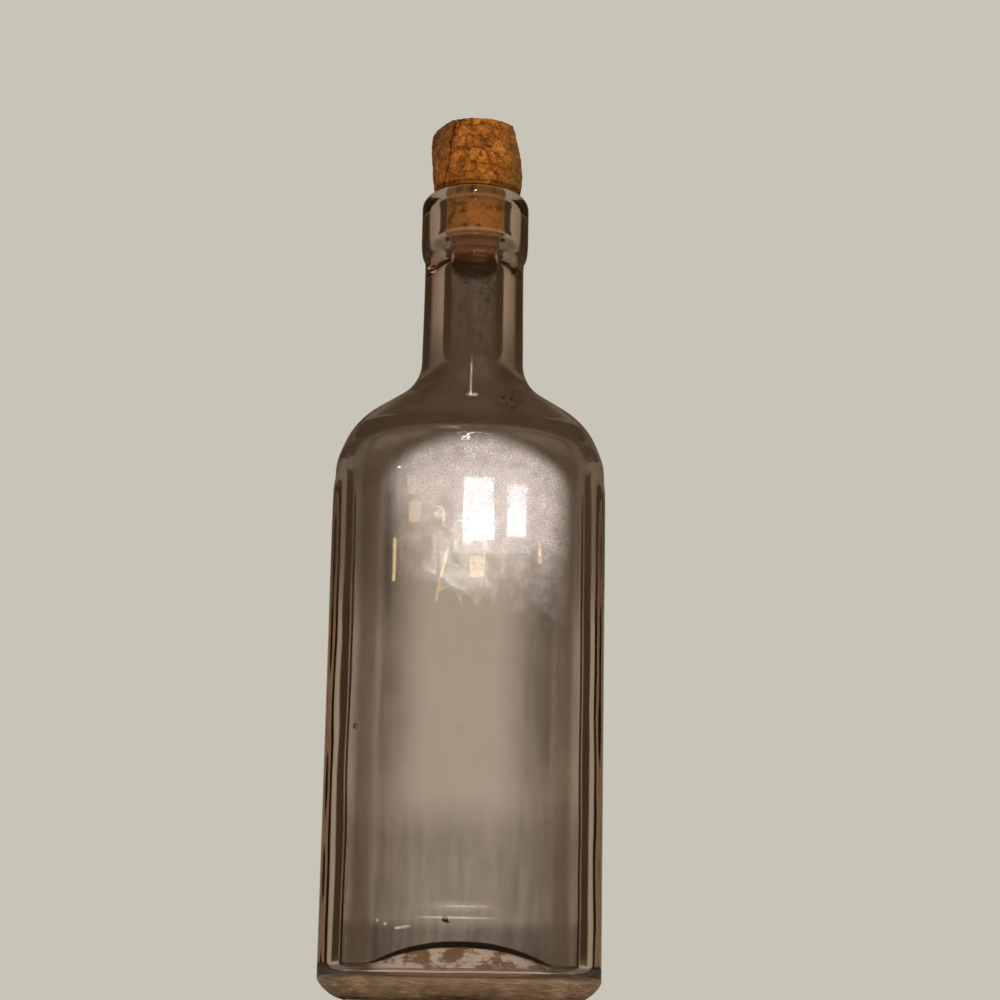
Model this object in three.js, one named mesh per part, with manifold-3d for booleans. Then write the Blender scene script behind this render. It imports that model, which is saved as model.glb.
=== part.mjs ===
// Apothecary bottle: a bevelled rectangular glass bottle with a tooled lip, closed by a whittled cork.
// Millimetres, +Z up. The origin is the centre of the base, and the flat front panel faces -Y.

import * as THREE from 'three';
import { mergeVertices } from 'three/addons/utils/BufferGeometryUtils.js';
import Module from 'manifold-3d';

const wasm = await Module();
wasm.setup();

// Glass body
const BODY_WIDTH = 69;
const BODY_DEPTH = 42;
const BEVEL_LEG = 9.5; // length cut off each face at a vertical corner
const SHOULDER_HEIGHT = 132; // where the straight sides end
const SIDE_WALL = 3;

// Base
const HEEL_HEIGHT = 5.2;
const HEEL_WIDTH = 6.5; // from the straight side in to the ring that the bottle stands on
const HEEL_FLATNESS = 4 / 3; // of the heel's outline: 1 is a quarter ellipse, 2 is a straight chamfer
const REST_RING_WIDTH = 3.5; // flat band that the bottle stands on
const PUSH_UP = 5; // hollow under the middle of the base
const FLOOR_EDGE_HEIGHT = 6.5; // inner floor at its edge
const FLOOR_RISE = 8; // how far the inner floor domes up in the middle
const INNER_HEEL_RADIUS = 2.5;

// Shoulder
const SHOULDER_RADIUS = 20.2;
const SHOULDER_SLOPE = THREE.MathUtils.degToRad(30.7);
const NECK_ROOT_RADIUS = 11;
const SCOOP_RADIUS = 39; // hollow curve from the neck down to the front and back panels
const SCOOP_EASE = 8; // height over which the scoop takes hold outside
const INNER_SCOOP_EASE = 14;
const SHOULDER_SQUARENESS = 2.5; // 2 is an ellipse, higher is squarer

// Neck and lip
const NECK_DIAMETER = 26.4;
const NECK_LENGTH = 27.8;
const NECK_DRAW_IN = 0.25; // the neck's radius is this much less under the lip
const LIP_OVERHANG = 1.15; // beyond the neck's radius under the lip
const LIP_HEIGHT = 17.7;
const LIP_FOOT_HEIGHT = 5;
const LIP_TOP_RADIUS = 4;
const RIM_FLAT = 0.5;
const MOUTH_EDGE_RADIUS = 2.5;
const MOUTH_DIAMETER = 15.4; // of the wider part of the bore, which takes the cork
const MOUTH_DEPTH = 12.4; // from the rim down to the ledge under that part
const LEDGE_HEIGHT = 1.6; // of the slope from that part in to the neck's bore
const BORE_DIAMETER = 12.6;

// Cork
const CORK_CLEARANCE = 0.3;
const CORK_STEM_LENGTH = 17; // below the rim
const CORK_STEM_TAPER = 0.5; // the stem's radius is this much less at its foot
const CORK_HEAD_HEIGHT = 18.8;
const CORK_HEAD_OVERHANG = 3.6; // head's foot, beyond the radius of the mouth
const CORK_HEAD_SWELL = 1.1; // the head is widest above its foot
const CORK_SWELL_HEIGHT = 10;
const CORK_TOP_DRAW_IN = 0.6; // the top's radius is this much less than the widest
const CORK_EDGE = 0.8; // broken edge round the top and the foot of the head
const CRACK_WIDTH = 0.6;
const CRACK_DEPTH = 4;
const CRACK_OFFSET = 7.5; // from the axis, towards -X
const CRACK_LEAN = THREE.MathUtils.degToRad(7);

// Edges of the glass: the higher the sharpness, the smaller the radius where two faces meet
const BEVEL_SHARPNESS = 90; // between a bevel and a side, on the straight body
const SHOULDER_SHARPNESS = 9; // the same edge, where it melts away in the shoulder
const PANEL_SHARPNESS = 24; // round a panel
const INNER_SHARPNESS = 8;
const MELT_BELOW = 20; // the bevel's edge melts away from this far below the shoulder's height
const MELT_ABOVE = 8; // to this far above it

// Facets
const BEVEL_EDGE_SPREAD = THREE.MathUtils.degToRad(3.5); // half the angle that an edge's rounding takes up
const PANEL_EDGE_SPREAD = THREE.MathUtils.degToRad(5);
const HEEL_STEPS = 5;
const SHOULDER_STEPS = 17;
const BASE_STEPS = 4;
const ARC_STEPS = 4;
const CORK_SIDES = 40;

const sideTurn = Math.PI / 2 - SHOULDER_SLOPE; // angle that each shoulder arc turns through
const bevelDistance = (BODY_WIDTH / 2 + BODY_DEPTH / 2 - BEVEL_LEG) / Math.SQRT2;
const boreRadius = BORE_DIAMETER / 2;
const mouthRadius = MOUTH_DIAMETER / 2;
const neckRadius = NECK_DIAMETER / 2;
const neckTopRadius = neckRadius - NECK_DRAW_IN;
const meltStart = SHOULDER_HEIGHT - MELT_BELOW;
const meltEnd = SHOULDER_HEIGHT + MELT_ABOVE;
const lipRadius = neckTopRadius + LIP_OVERHANG;
const corkFootRadius = mouthRadius + CORK_HEAD_OVERHANG;
const corkWidest = corkFootRadius + CORK_HEAD_SWELL;

// Two faces joined at a rounded edge. Each is given at one angle by the reciprocal of its distance from the
// axis, and so is the result.
function joinFaces(first, second, sharpness) {
  return (first ** sharpness + second ** sharpness) ** (1 / sharpness);
}

// One skin of the glass, outer or inner: the panels and bevels of the body, and the shoulder that draws them
// in to a round neck. From the front the shoulder is an S of two arcs and a slope. From the side it is a
// scoop.
function glassSkin({
  halfWidth, halfDepth, bevel, neck, shoulderRadius, rootRadius, scoopRadius, scoopEase,
  bevelSharpness, shoulderSharpness, panelSharpness,
}) {
  const arcRun = (shoulderRadius + rootRadius) * (1 - Math.cos(sideTurn));
  const fit = Math.min(1, (halfWidth - neck) / arcRun);
  const shoulder = shoulderRadius * fit;
  const root = rootRadius * fit;
  const slopeRun = halfWidth - neck - arcRun * fit;
  const slopeStart = SHOULDER_HEIGHT + shoulder * Math.sin(sideTurn);
  const slopeEnd = slopeStart + slopeRun * Math.tan(SHOULDER_SLOPE);
  const neckHeight = slopeEnd + root * Math.sin(sideTurn);
  const foot = Math.min(SHOULDER_HEIGHT, neckHeight - scoopRadius);

  function halfWidthAt(z) {
    if (z <= SHOULDER_HEIGHT) return halfWidth;
    if (z >= neckHeight) return neck;
    if (z <= slopeStart) return halfWidth - shoulder + Math.sqrt(shoulder ** 2 - (z - SHOULDER_HEIGHT) ** 2);
    if (z >= slopeEnd) return neck + root - Math.sqrt(root ** 2 - (neckHeight - z) ** 2);
    return halfWidth - shoulder * (1 - Math.cos(sideTurn)) - (z - slopeStart) / Math.tan(SHOULDER_SLOPE);
  }

  function halfDepthAt(z) {
    if (z <= neckHeight - scoopRadius) return Infinity;
    return neck + scoopRadius - Math.sqrt(scoopRadius ** 2 - Math.max(neckHeight - z, 0) ** 2);
  }

  function radiusAt(angle, z) {
    const across = Math.abs(Math.cos(angle));
    const along = Math.abs(Math.sin(angle));
    const squareness = THREE.MathUtils.mapLinear(THREE.MathUtils.clamp(z, foot, neckHeight),
      foot, neckHeight, SHOULDER_SQUARENESS, 2);
    const hold = THREE.MathUtils.smoothstep(z, foot, foot + scoopEase);
    const dome = ((across / halfWidthAt(z)) ** squareness + ((along * hold) / halfDepthAt(z)) ** squareness)
      ** (1 / squareness);
    const melted = THREE.MathUtils.smoothstep(z, meltStart, meltEnd);
    const sharpness = THREE.MathUtils.lerp(bevelSharpness, shoulderSharpness, melted);
    const corner = joinFaces((across + along) / Math.SQRT2 / bevel, dome, sharpness);
    return 1 / joinFaces(along / halfDepth, corner, panelSharpness);
  }

  return { foot, neckHeight, radiusAt };
}

const outerSkin = glassSkin({
  halfWidth: BODY_WIDTH / 2,
  halfDepth: BODY_DEPTH / 2,
  bevel: bevelDistance,
  neck: neckRadius,
  shoulderRadius: SHOULDER_RADIUS,
  rootRadius: NECK_ROOT_RADIUS,
  scoopRadius: SCOOP_RADIUS,
  scoopEase: SCOOP_EASE,
  bevelSharpness: BEVEL_SHARPNESS,
  shoulderSharpness: SHOULDER_SHARPNESS,
  panelSharpness: PANEL_SHARPNESS,
});

const innerSkin = glassSkin({
  halfWidth: BODY_WIDTH / 2 - SIDE_WALL,
  halfDepth: BODY_DEPTH / 2 - SIDE_WALL,
  bevel: bevelDistance - SIDE_WALL,
  neck: boreRadius,
  shoulderRadius: SHOULDER_RADIUS - SIDE_WALL,
  rootRadius: NECK_ROOT_RADIUS + SIDE_WALL,
  scoopRadius: SCOOP_RADIUS - 2 * SIDE_WALL,
  scoopEase: INNER_SCOOP_EASE,
  bevelSharpness: INNER_SHARPNESS,
  shoulderSharpness: INNER_SHARPNESS,
  panelSharpness: INNER_SHARPNESS,
});

const lipFoot = outerSkin.neckHeight + NECK_LENGTH;
const rim = lipFoot + LIP_HEIGHT;
const rimFit = Math.min(1, (lipRadius - mouthRadius - RIM_FLAT) / (LIP_TOP_RADIUS + MOUTH_EDGE_RADIUS));
const lipRound = LIP_TOP_RADIUS * rimFit;
const mouthRound = MOUTH_EDGE_RADIUS * rimFit;
const ledgeTop = rim - MOUTH_DEPTH;

// Evenly spaced numbers from one value to another, both included.
function evenly(from, to, steps) {
  return Array.from({ length: steps + 1 }, (_, i) => from + ((to - from) * i) / steps);
}

// Angles of the points round a ring: close together at the two edges of a bevel, and wider on the faces.
function ringAngles() {
  const sideEdge = Math.atan2(BODY_DEPTH / 2 - BEVEL_LEG, BODY_WIDTH / 2);
  const frontEdge = Math.atan2(BODY_DEPTH / 2, BODY_WIDTH / 2 - BEVEL_LEG);
  const spans = [
    [0, sideEdge - BEVEL_EDGE_SPREAD, 3],
    [sideEdge - BEVEL_EDGE_SPREAD, sideEdge + BEVEL_EDGE_SPREAD, 2],
    [sideEdge + BEVEL_EDGE_SPREAD, frontEdge - PANEL_EDGE_SPREAD, 3],
    [frontEdge - PANEL_EDGE_SPREAD, frontEdge + PANEL_EDGE_SPREAD, 4],
    [frontEdge + PANEL_EDGE_SPREAD, Math.PI / 2, 5],
  ];
  const quarter = spans.flatMap(([from, to, steps]) => evenly(from, to, steps).slice(0, -1));
  const mirrored = quarter.slice(1).reverse().map((angle) => Math.PI - angle);
  const half = [...quarter, Math.PI / 2, ...mirrored];
  return [...half, ...half.map((angle) => angle + Math.PI)];
}

const angles = ringAngles();

// A ring of points at one height, from the distance of each to the axis.
function ring(height, radiusOf) {
  return angles.map((angle) => {
    const radius = radiusOf(angle);
    return new THREE.Vector3(radius * Math.cos(angle), radius * Math.sin(angle), height);
  });
}

// Closes a stack of rings into one surface, with a pole at each end.
function loft(startPole, rings, endPole) {
  const count = angles.length;
  const points = [startPole, ...rings.flat(), endPole];
  const at = (level, i) => 1 + level * count + (i % count);
  const indices = [];
  for (let i = 0; i < count; i += 1) {
    indices.push(0, at(0, i + 1), at(0, i));
    indices.push(at(rings.length - 1, i), at(rings.length - 1, i + 1), points.length - 1);
    for (let level = 0; level + 1 < rings.length; level += 1) {
      indices.push(at(level, i), at(level, i + 1), at(level + 1, i + 1));
      indices.push(at(level, i), at(level + 1, i + 1), at(level + 1, i));
    }
  }
  const geometry = new THREE.BufferGeometry().setFromPoints(points);
  geometry.setIndex(indices);
  geometry.computeVertexNormals();
  return geometry;
}

// Underside: the push-up, the flat ring that it stands on, and the rounded heel.
function baseRings() {
  const body = (angle) => outerSkin.radiusAt(angle, HEEL_HEIGHT);
  const hollow = (angle) => body(angle) - HEEL_WIDTH - REST_RING_WIDTH;
  const pushUp = evenly(0, 1, BASE_STEPS).slice(1).map((share) =>
    ring(PUSH_UP * (1 - share ** 2), (angle) => hollow(angle) * share));
  const heel = evenly(0, 1, HEEL_STEPS).map((share) => {
    const rise = 1 - Math.cos((share * Math.PI) / 2) ** HEEL_FLATNESS;
    const inset = 1 - Math.sin((share * Math.PI) / 2) ** HEEL_FLATNESS;
    return ring(HEEL_HEIGHT * rise, (angle) => body(angle) - HEEL_WIDTH * inset);
  });
  return [...pushUp, ...heel];
}

// Rings up a skin, from its straight body over its shoulder to its neck.
function shoulderRings(skin) {
  const start = Math.min(skin.foot, meltStart);
  return evenly(start, skin.neckHeight, SHOULDER_STEPS).map((z) =>
    ring(z, (angle) => skin.radiusAt(angle, z)));
}

// Lip and mouth: the collar's rounded foot, straight side and rounded top, and the mouth down over its ledge.
function lipRings() {
  const outline = new THREE.Path();
  outline.moveTo(neckTopRadius, lipFoot);
  const footTop = lipFoot + LIP_FOOT_HEIGHT;
  outline.absellipse(neckTopRadius, footTop, LIP_OVERHANG, LIP_FOOT_HEIGHT, -Math.PI / 2, 0);
  outline.lineTo(lipRadius, rim - lipRound);
  outline.absarc(lipRadius - lipRound, rim - lipRound, lipRound, 0, Math.PI / 2);
  outline.lineTo(mouthRadius + mouthRound, rim);
  outline.absarc(mouthRadius + mouthRound, rim - mouthRound, mouthRound, Math.PI / 2, Math.PI);
  outline.lineTo(mouthRadius, ledgeTop);
  outline.lineTo(boreRadius, ledgeTop - LEDGE_HEIGHT);
  const points = outline.getPoints(ARC_STEPS);
  const distinct = points.filter((point, i) => i === 0 || point.distanceTo(points[i - 1]) > 1e-6);
  return distinct.map((point) => ring(point.y, () => point.x));
}

// Inner heel and floor, from the wall to the edge of the domed floor.
function floorRings() {
  const wall = (angle) => innerSkin.radiusAt(angle, FLOOR_EDGE_HEIGHT + INNER_HEEL_RADIUS);
  const heel = evenly(0, Math.PI / 2, HEEL_STEPS).map((turn) => ring(
    FLOOR_EDGE_HEIGHT + INNER_HEEL_RADIUS * (1 - Math.sin(turn)),
    (angle) => wall(angle) - INNER_HEEL_RADIUS * (1 - Math.cos(turn)),
  ));
  const dome = evenly(1, 0, BASE_STEPS).slice(1, -1).map((share) => ring(
    FLOOR_EDGE_HEIGHT + FLOOR_RISE * (1 - share ** 2),
    (angle) => (wall(angle) - INNER_HEEL_RADIUS) * share,
  ));
  return [...heel, ...dome];
}

function glassBottleGeometry() {
  const rings = [
    ...baseRings(),
    ...shoulderRings(outerSkin),
    ...lipRings(),
    ...shoulderRings(innerSkin).reverse(),
    ...floorRings(),
  ];
  const underside = new THREE.Vector3(0, 0, PUSH_UP);
  const floorTop = new THREE.Vector3(0, 0, FLOOR_EDGE_HEIGHT + FLOOR_RISE);
  return loft(underside, rings, floorTop);
}

// A closed geometry as a solid that can be cut, and back again.
function solidOf(geometry) {
  const bare = new THREE.BufferGeometry().setAttribute('position', geometry.getAttribute('position'));
  bare.setIndex(geometry.index);
  const merged = mergeVertices(bare, 1e-4);
  return new wasm.Manifold(new wasm.Mesh({
    numProp: 3,
    vertProperties: merged.getAttribute('position').array,
    triVerts: new Uint32Array(merged.index.array),
  }));
}

function geometryOf(solid) {
  const { vertProperties, triVerts } = solid.getMesh();
  const geometry = new THREE.BufferGeometry();
  geometry.setAttribute('position', new THREE.BufferAttribute(vertProperties, 3));
  geometry.setIndex(new THREE.BufferAttribute(triVerts, 1));
  geometry.computeVertexNormals();
  return geometry;
}

// The cork before it was whittled: a tapered stem, a shank that fills the mouth down to its ledge, a seat that
// follows the mouth's edge, and a swollen head.
function corkBlank() {
  const stemRadius = boreRadius - CORK_CLEARANCE;
  const shankRadius = mouthRadius - CORK_CLEARANCE;
  const shankFoot = ledgeTop + CORK_CLEARANCE / 2;
  const seatRadius = mouthRound + CORK_CLEARANCE;
  const topRadius = corkWidest - CORK_TOP_DRAW_IN;
  const headFoot = rim + CORK_CLEARANCE;
  const top = rim + CORK_HEAD_HEIGHT;
  const outline = new THREE.Path();
  outline.moveTo(0, rim - CORK_STEM_LENGTH);
  outline.lineTo(stemRadius - CORK_STEM_TAPER, rim - CORK_STEM_LENGTH);
  outline.lineTo(stemRadius, shankFoot - LEDGE_HEIGHT);
  outline.lineTo(shankRadius, shankFoot);
  outline.lineTo(shankRadius, rim - mouthRound);
  outline.absarc(mouthRadius + mouthRound, rim - mouthRound, seatRadius, Math.PI, Math.PI / 2, true);
  outline.lineTo(corkFootRadius - CORK_EDGE / 2, headFoot);
  outline.lineTo(corkFootRadius, headFoot + CORK_EDGE);
  outline.quadraticCurveTo(corkWidest, headFoot + CORK_EDGE, corkWidest, rim + CORK_SWELL_HEIGHT);
  outline.lineTo(topRadius, top - CORK_EDGE);
  outline.lineTo(topRadius - CORK_EDGE, top);
  outline.lineTo(0, top);
  return new THREE.LatheGeometry(outline.getPoints(ARC_STEPS), CORK_SIDES).rotateX(Math.PI / 2);
}

// Knife cuts on the head: the way each flat faces and how far it leans back from upright, in degrees, and
// the depth that it takes off the corner between the head's widest round and its top.
const KNIFE_CUTS = [
  { facing: 180, lean: 47, depth: 1.3 },
  { facing: 185, lean: 66, depth: 2.1 },
  { facing: 184, lean: -6, depth: 1.8 },
  { facing: 2, lean: 12.5, depth: 2.8 },
  { facing: 10, lean: 50, depth: 2 },
  { facing: 248, lean: 4, depth: 1.3 },
  { facing: 300, lean: 3, depth: 1.1 },
  { facing: 68, lean: 8, depth: 2 },
  { facing: 122, lean: 5, depth: 1.4 },
];

// A block with one face on a knife cut, standing on its outer side.
function cutter({ facing, lean, depth }) {
  const tilt = THREE.MathUtils.degToRad(lean);
  const corner = corkWidest * Math.cos(tilt) + (CORK_HEAD_HEIGHT / 2) * Math.abs(Math.sin(tilt));
  const size = 4 * CORK_HEAD_HEIGHT;
  const block = new THREE.BoxGeometry(size, size, size);
  block.translate(corner - depth + size / 2, 0, 0);
  block.rotateY(-tilt);
  block.rotateZ(THREE.MathUtils.degToRad(facing));
  return block.translate(0, 0, rim + CORK_HEAD_HEIGHT / 2);
}

// The split down the front of the head, left of the middle.
function crackSlit() {
  const slit = new THREE.BoxGeometry(CRACK_WIDTH, 2 * CRACK_DEPTH, 2 * CORK_HEAD_HEIGHT);
  const front = Math.sqrt(corkFootRadius ** 2 - CRACK_OFFSET ** 2);
  slit.translate(0, 0, CORK_HEAD_HEIGHT + CORK_EDGE);
  slit.rotateY(CRACK_LEAN);
  return slit.translate(-CRACK_OFFSET - CRACK_WIDTH, -front, rim + CORK_EDGE);
}

function corkGeometry() {
  const cuts = KNIFE_CUTS.map((cut) => solidOf(cutter(cut)));
  const cutters = [...cuts, solidOf(crackSlit())];
  return geometryOf(cutters.reduce((solid, tool) => solid.subtract(tool), solidOf(corkBlank())));
}

const glass = new THREE.MeshStandardMaterial({
  color: 0xb9aea2,
  roughness: 0.05,
  metalness: 0,
  transparent: true,
  opacity: 0.4,
});
const cork = new THREE.MeshStandardMaterial({ color: 0xa8692f, roughness: 0.9, metalness: 0 });

function namedMesh(name, geometry, material) {
  const mesh = new THREE.Mesh(geometry, material);
  mesh.name = name;
  return mesh;
}

const bottle = new THREE.Group();
bottle.add(namedMesh('glass_bottle', glassBottleGeometry(), glass));
bottle.add(namedMesh('cork_stopper', corkGeometry(), cork));

export default bottle;
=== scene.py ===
"""An apothecary bottle: old moulded glass, dust on it, a brown film inside it, and a whittled cork."""

import math

import bpy
from mathutils import Matrix, Vector


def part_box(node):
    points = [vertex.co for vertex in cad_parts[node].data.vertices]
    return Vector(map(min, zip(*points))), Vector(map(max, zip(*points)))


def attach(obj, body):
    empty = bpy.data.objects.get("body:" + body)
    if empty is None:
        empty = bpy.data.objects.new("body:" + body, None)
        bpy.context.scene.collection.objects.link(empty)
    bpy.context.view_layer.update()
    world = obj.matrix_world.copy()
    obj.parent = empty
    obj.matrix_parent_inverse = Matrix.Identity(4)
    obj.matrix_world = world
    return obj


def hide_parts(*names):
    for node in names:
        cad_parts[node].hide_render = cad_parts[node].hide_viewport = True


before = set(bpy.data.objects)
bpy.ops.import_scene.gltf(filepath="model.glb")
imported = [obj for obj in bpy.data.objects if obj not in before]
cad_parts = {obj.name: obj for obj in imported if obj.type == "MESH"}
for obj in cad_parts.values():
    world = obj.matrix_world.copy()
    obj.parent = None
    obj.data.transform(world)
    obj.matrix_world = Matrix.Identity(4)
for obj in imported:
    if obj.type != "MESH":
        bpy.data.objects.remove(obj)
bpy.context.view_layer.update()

MM = 0.001
DEGREE = math.pi / 180
QUARTER = math.pi / 2
TURN = 2 * math.pi

# Overall sizes, from the frame
glass_low, glass_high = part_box("glass_bottle")
cork_low, cork_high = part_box("cork_stopper")
BODY_WIDTH = glass_high.x - glass_low.x
BODY_DEPTH = glass_high.y - glass_low.y
RIM = glass_high.z
STEM_FOOT = cork_low.z
CORK_TOP = cork_high.z

# Glass
DUST_ROOM = 0.08 * MM  # the glass lies this far inside the frame's faces, and the dust lies on it
BEVEL_LEG = 9.5 * MM
SHOULDER_HEIGHT = 132 * MM
SIDE_WALL = 3 * MM
HEEL_HEIGHT = 5.2 * MM
HEEL_WIDTH = 6.5 * MM
HEEL_FLATNESS = 4 / 3  # of the heel's outline, between a quarter circle at 1 and a chamfer at 2
REST_RING_WIDTH = 3.5 * MM
PUSH_UP = 5 * MM
FLOOR_EDGE_HEIGHT = 6.5 * MM
FLOOR_RISE = 8 * MM
INNER_HEEL_RADIUS = 2.5 * MM
SHOULDER_RADIUS = 20.2 * MM
SHOULDER_SLOPE = 30.7 * DEGREE
NECK_ROOT_RADIUS = 11 * MM
SCOOP_RADIUS = 39 * MM
SCOOP_EASE = 8 * MM  # height over which the scoop takes hold outside
INNER_SCOOP_EASE = 14 * MM
SHOULDER_SQUARENESS = 2.5
NECK_RADIUS = 13.2 * MM
NECK_DRAW_IN = 0.25 * MM
LIP_OVERHANG = 1.15 * MM
LIP_HEIGHT = 17.7 * MM
LIP_FOOT_HEIGHT = 5 * MM
LIP_TOP_RADIUS = 3.6 * MM
MOUTH_EDGE_RADIUS = 2.2 * MM
MOUTH_RADIUS = 7.7 * MM  # of the wider part of the bore, which takes the cork
MOUTH_DEPTH = 12.4 * MM
LEDGE_HEIGHT = 1.6 * MM
BORE_RADIUS = 6.3 * MM
PANEL_SHARPNESS = 24.0  # of the edge round a panel
EDGE_SHARPNESS = 90.0  # of a bevel's outer edge, on the straight body
SHOULDER_SOFTNESS = 9.0  # of the same edge, where it fades out in the shoulder
INNER_SHARPNESS = 8.0
SOFTENING = (112 * MM, 140 * MM)  # heights between which the edge fades out
GLASS_COLUMNS = 360
OUTSIDE_WAVE = 0.05 * MM  # the most that the outside is uneven
INSIDE_WAVE = 0.8 * MM
BUBBLE = Vector((-26.2, -18.3, 65)) * MM  # the one that shows
BUBBLE_RADIUS = 0.75 * MM
SMALL_BUBBLES = 1400.0  # of the others, on a square metre of wall
SMALL_BUBBLE_RADII = (0.07 * MM, 0.28 * MM)

# Films on the glass, and what sticks to it
FILM = 0.02 * MM
FILM_GAP = 0.03 * MM
INNER_FILM_DROP = 1 * MM  # from the foot of the mouth's ledge to the top of the film inside
PANEL_START = (18.5 * MM, 20.5 * MM)  # how far off the axis the flat of a panel fades in, outside
ARCH_MIDDLE = 1 * MM
ARCH_BEND = 51 * MM
ARCH_FOOT = 135 * MM  # heights on the axis between which the dust under the arch ends
ARCH_TOP = 140 * MM
GLOW_MIDDLE = Vector((7.0, -21.0, 119)) * MM  # where the dust under the arch is thickest, a painted glow round the window's mirrored glint
GLOW_REACH = 28 * MM
SOOT_PLACE = Vector((10.0, -15.0, 149)) * MM
SOOT_REACH = 7 * MM
GLINT_LINE_LOW = 19.3 * MM  # heights of two painted highlights, pale lines on the front
GLINT_LINE_HIGH = 22.0 * MM
GLINT_MARK_LEAN = 0.19  # of the painted highlight marks beside them, each with its place across, its height and its half width
GLINT_MARKS = (
    (-19.7 * MM, 18.4 * MM, 0.5 * MM),
    (-17.7 * MM, 17.6 * MM, 0.5 * MM),
    (-13.6 * MM, 16.9 * MM, 1.9 * MM),
)
SCUFFS_TOP = 6 * MM
DARK_ARC_FOOT = 2.1 * MM  # below the crest of the floor, where a painted dark line, shade for the light that the thick floor turns away, gives way to pale silt
DARK_ARC_TOP = 1.6 * MM
CRUMB = Vector((-3.5, -16.6, 19)) * MM
CRUMB_SIZE = 1.0 * MM

# Cork
CORK_CLEARANCE = 0.3 * MM
CORK_STEM_TAPER = 0.5 * MM
CORK_HEAD_OVERHANG = 3.6 * MM
CORK_HEAD_SWELL = 1.1 * MM
CORK_SWELL_HEIGHT = 10 * MM
CORK_TOP_DRAW_IN = 0.6 * MM
CORK_EDGE = 0.8 * MM
CRACK_FOOT = -8.1 * MM  # where the split starts, across the front of the head
CRACK_LEAN = 7 * DEGREE
CRACK_DEPTH = 1.6 * MM
CORK_COLUMNS = 400
# Knife cuts on the head: the way each flat faces, its lean and the depth that it takes off the corner
KNIFE_CUTS = (
    (180, 47, 1.3), (185, 66, 2.1), (184, -6, 1.8), (2, 12.5, 2.8), (10, 50, 2.0),
    (248, 4, 1.3), (300, 3, 1.1), (68, 8, 2.0), (122, 5, 1.4),
)
# Painted highlights: pale rings on the cork, standing in for the glints of the mouth's edges, by depth
# under the rim: foot, full from, full to, top
GLINT_RINGS = (
    (13.1 * MM, 12.9 * MM, 12.6 * MM, 12.3 * MM),
    (11.9 * MM, 11.7 * MM, 11.3 * MM, 10.9 * MM),
    (2.8 * MM, 2.5 * MM, 2.2 * MM, 1.8 * MM),
)
# Painted highlight: a ring just under the rim, by the same depths
TOP_GLINT_RING = (1.4 * MM, 1.2 * MM, 1.0 * MM, 0.8 * MM)

# Camera, in the photograph's frame
PHOTO_SIDE = 1000
FOCAL_PIXELS = 2400
SENSOR = 36.0
CAMERA_ELEVATION = -12.9 * DEGREE
CAMERA_ROLL = 1.04 * DEGREE
CAMERA_TARGET = Vector((7.8, 0, 126.35)) * MM
CAMERA_DISTANCE = 616.1 * MM

# Glints on the front panel: the middle of each in the picture
LEFT_PANE = (479, 508)
RIGHT_PANE = (518, 510)
HALO = (497, 510)
WARM_LOW = (477, 565)
WARM_LEFT = (415, 509)
LEFT_STREAK = (393, 558)
LEFT_GLINT = (412, 484)
RIGHT_STREAK = (542, 553)
RIGHT_GLINT = (546, 501)
TOP_STREAK = (474, 444)
DOT = (397, 461)
PANEL_MIDDLE = 468  # of the picture's columns
PANEL_BULGE = 83  # columns from the middle, near which the panel's rounded sides draw a glint inwards

# Light
COOL = (0.78, 0.92, 1.0)
WARM = (1.0, 0.72, 0.3)
PEARL = (1.0, 0.86, 0.68)
PLAIN_LIGHT = 0.6
KEY_PLACE = (0.35, -1.2, 1.75)
KEY_TARGET = (0, 0, 0.15)
KEY_RADIANCE = 2.3
KEY_LAMPS = 3  # one in another, so that the light's edge is soft
KEY_SIZE = 0.8
KEY_GROWTH = 0.4
GLINT_LAMPS = 5  # one in another, so that a pane's edge is soft
GLINT_REACH = 1.4
SHOULDER_TARGET = (0, 0, 0.14)
ARCH_LAMP = (0.0, -0.8, 1.16)  # mirrored by the panel's arched edge
ROOT_LAMP = (-0.02, -0.89, 0.87)  # mirrored as a line at the root of the neck
FLOOR_HALF = 10.0
FLOOR_HEIGHT = -0.3 * MM

# Colours
PALE = (0.578, 0.552, 0.479, 1)
FLOOR = (0.48, 0.46, 0.4, 1)
DIM = (0.07, 0.046, 0.022, 1)
CLEAR_GLASS = (1.0, 0.96, 0.94, 1)
SMOKE = (0.575, 0.375, 0.2, 1)
RESIDUE_AND_SHADE = (0.075, 0.042, 0.021, 1)
PAINTED_DARK_ARC = (0.014, 0.014, 0.014, 1)
SILT_AND_REFLECTION = (0.5, 0.33, 0.2, 1)
CRUST_AND_REFLECTION = (1.0, 0.9, 0.74, 1)
GRIME_AND_SHADE = (0.075, 0.046, 0.024, 1)
PALE_DUST_AND_GLOW = (0.86, 0.73, 0.69, 1)
SOOT = (0.012, 0.007, 0.004, 1)
SCUFF_TONES = ((0.3, (0.165, 0.1, 0.052)), (0.5, (0.33, 0.21, 0.12)), (0.7, (0.57, 0.4, 0.25)))
FLECK = (0.7, 0.53, 0.38, 1)
DARK_CRUMB = (0.05, 0.02, 0.01, 1)
CORK_TONES = (
    (0.0, (0.075, 0.016, 0.001)),
    (0.3, (0.18, 0.048, 0.003)),
    (0.55, (0.3, 0.092, 0.008)),
    (0.8, (0.43, 0.16, 0.026)),
    (1.0, (0.62, 0.3, 0.087)),
)
AGED_CORK = (0.08, 0.029, 0.004, 1)
OLIVE_CORK = (0.115, 0.058, 0.009, 1)
CORK_SEAM = (0.045, 0.012, 0.002, 1)
PALE_SHANK = (0.88, 0.42, 0.09, 1)
DARK_SHANK = (0.11, 0.03, 0.003, 1)
STAINED_CORK = (0.5, 0.135, 0.004, 1)
CORK_GLINT = (1.0, 0.68, 0.36, 1)


def operation_on(operation):
    """A method of a wire: an operation on it and on what else it takes."""

    def method(wire, *others):
        return wire.graph.math(operation, wire, *others)

    return method


def reflected(operation):
    """The same, with the wire as the second of two."""

    def method(wire, other):
        return wire.graph.math(operation, other, wire)

    return method


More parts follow.
